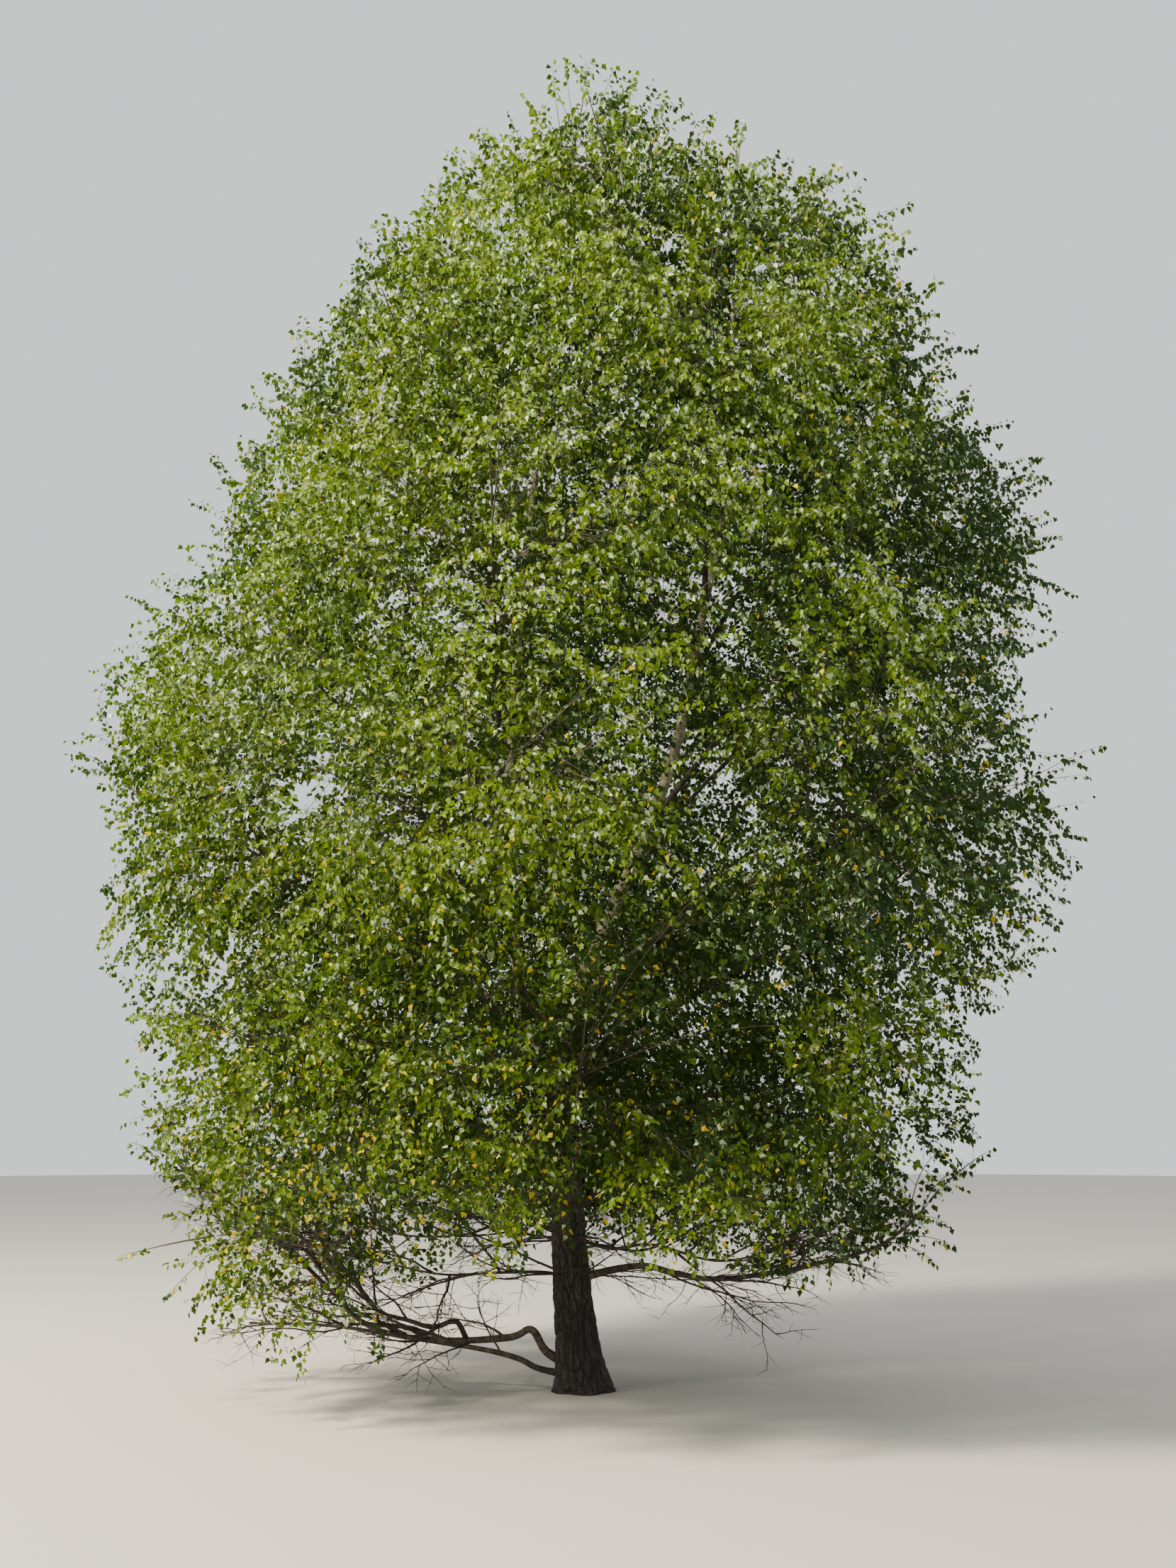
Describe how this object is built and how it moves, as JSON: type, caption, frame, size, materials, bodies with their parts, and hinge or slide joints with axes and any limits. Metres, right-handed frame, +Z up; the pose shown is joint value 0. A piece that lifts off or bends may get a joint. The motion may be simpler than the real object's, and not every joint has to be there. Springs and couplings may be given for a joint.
{
  "type": "silver birch tree",
  "caption": "Free-standing silver birch in early autumn leaf: leaning trunk with a root flare, forked leaders, arching boughs and an open round crown down to low boughs.",
  "frame": {"origin": "middle of the flat cut at the foot of the trunk, on level ground", "axes": "+Z up the tree, -Y the front seen in the picture, +X to the right in that view"},
  "size_m": [7.51, 7.1063, 10.03],
  "materials": {
    "bark_dark": "rough dark bark of the shaded trunk and boughs",
    "bark_pale": "pale grey-white papery bark with dark cross marks",
    "leaf": "thin matt leaves, yellow-green with a few turned gold"
  },
  "bodies": {
    "root": {"bough_ground_left": "bark_dark", "bough_high_1": "bark_dark", "bough_high_2": "bark_dark", "bough_high_3": "bark_dark", "bough_low_left": "bark_dark", "bough_low_right": "bark_dark", "bough_lower_1": "bark_dark", "bough_lower_2": "bark_dark", "bough_lower_3": "bark_dark", "bough_lower_4": "bark_dark", "bough_lower_5": "bark_dark", "bough_lower_6": "bark_dark", "bough_middle_1": "bark_dark", "bough_middle_2": "bark_dark", "bough_middle_3": "bark_dark", "bough_middle_4": "bark_dark", "bough_middle_5": "bark_dark", "bough_skirt_1": "bark_dark", "bough_skirt_2": "bark_dark", "bough_skirt_3": "bark_dark", "bough_skirt_4": "bark_dark", "bough_skirt_5": "bark_dark", "bough_skirt_6": "bark_dark", "bough_upper_1": "bark_dark", "bough_upper_2": "bark_dark", "bough_upper_3": "bark_dark", "bough_upper_4": "bark_dark", "bough_upper_5": "bark_dark", "leader_left": "bark_pale", "leader_right": "bark_pale", "leaves_high_1": "leaf", "leaves_high_2": "leaf", "leaves_high_3": "leaf", "leaves_low_left": "leaf", "leaves_low_right": "leaf", "leaves_lower_1": "leaf", "leaves_lower_2": "leaf", "leaves_lower_3": "leaf", "leaves_lower_4": "leaf", "leaves_lower_5": "leaf", "leaves_lower_6": "leaf", "leaves_middle_1": "leaf", "leaves_middle_2": "leaf", "leaves_middle_3": "leaf", "leaves_middle_4": "leaf", "leaves_middle_5": "leaf", "leaves_skirt_1": "leaf", "leaves_skirt_2": "leaf", "leaves_skirt_3": "leaf", "leaves_skirt_4": "leaf", "leaves_skirt_5": "leaf", "leaves_skirt_6": "leaf", "leaves_top_left": "leaf", "leaves_top_right": "leaf", "leaves_upper_1": "leaf", "leaves_upper_2": "leaf", "leaves_upper_3": "leaf", "leaves_upper_4": "leaf", "leaves_upper_5": "leaf", "trunk": "bark_dark"}
  },
  "joints": []
}
